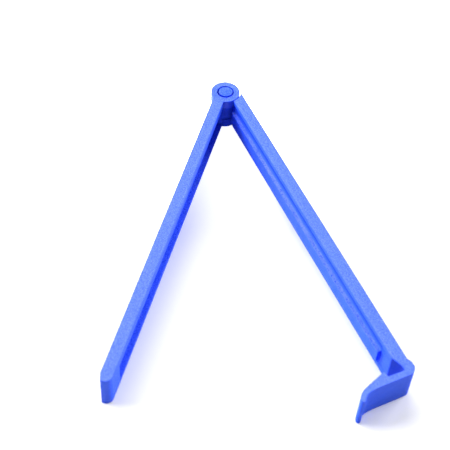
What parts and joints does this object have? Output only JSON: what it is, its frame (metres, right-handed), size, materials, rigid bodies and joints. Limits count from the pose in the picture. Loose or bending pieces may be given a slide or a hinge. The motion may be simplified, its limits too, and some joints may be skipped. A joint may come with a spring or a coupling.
{
  "type": "hinged sealing clip",
  "caption": "Long two-arm clip with a pinned hinge at one end and a hooked snap latch with a release tab at the other; an inner ridge presses into a groove.",
  "frame": {"origin": "on the hinge axis, at the clip's lower side face", "axes": "+Z along the hinge axis, up from the face the clip stands on; the arms point along -Y and open evenly about it, the grooved arm to -X and the ridged arm to +X"},
  "size_m": [0.0887, 0.1292, 0.012],
  "materials": {
    "groove_arm_plastic": "layered print with a textured bed side",
    "ridge_arm_plastic": "layered print with a textured bed side",
    "pin_plastic": "layered print with a textured bed side",
    "latch_plastic": "layered print with a textured bed side"
  },
  "bodies": {
    "ridge_arm": {"ridge_arm": "ridge_arm_plastic", "hinge_pin": "pin_plastic"},
    "groove_arm": {"groove_arm": "groove_arm_plastic"},
    "latch": {"latch_lever": "latch_plastic"}
  },
  "joints": [
    {"name": "main_hinge", "type": "hinge", "parent": "ridge_arm", "child": "groove_arm", "pos_m": [0, 0, 0], "axis": [0, 0, -1], "range_deg": [-38.9, 141.1]},
    {"name": "latch_flex", "type": "hinge", "parent": "ridge_arm", "child": "latch", "pos_m": [0.04404, -0.11022, 0], "axis": [0, 0, 1], "range_deg": [0, 12], "stiffness_Nm_per_rad": 0.4}
  ]
}
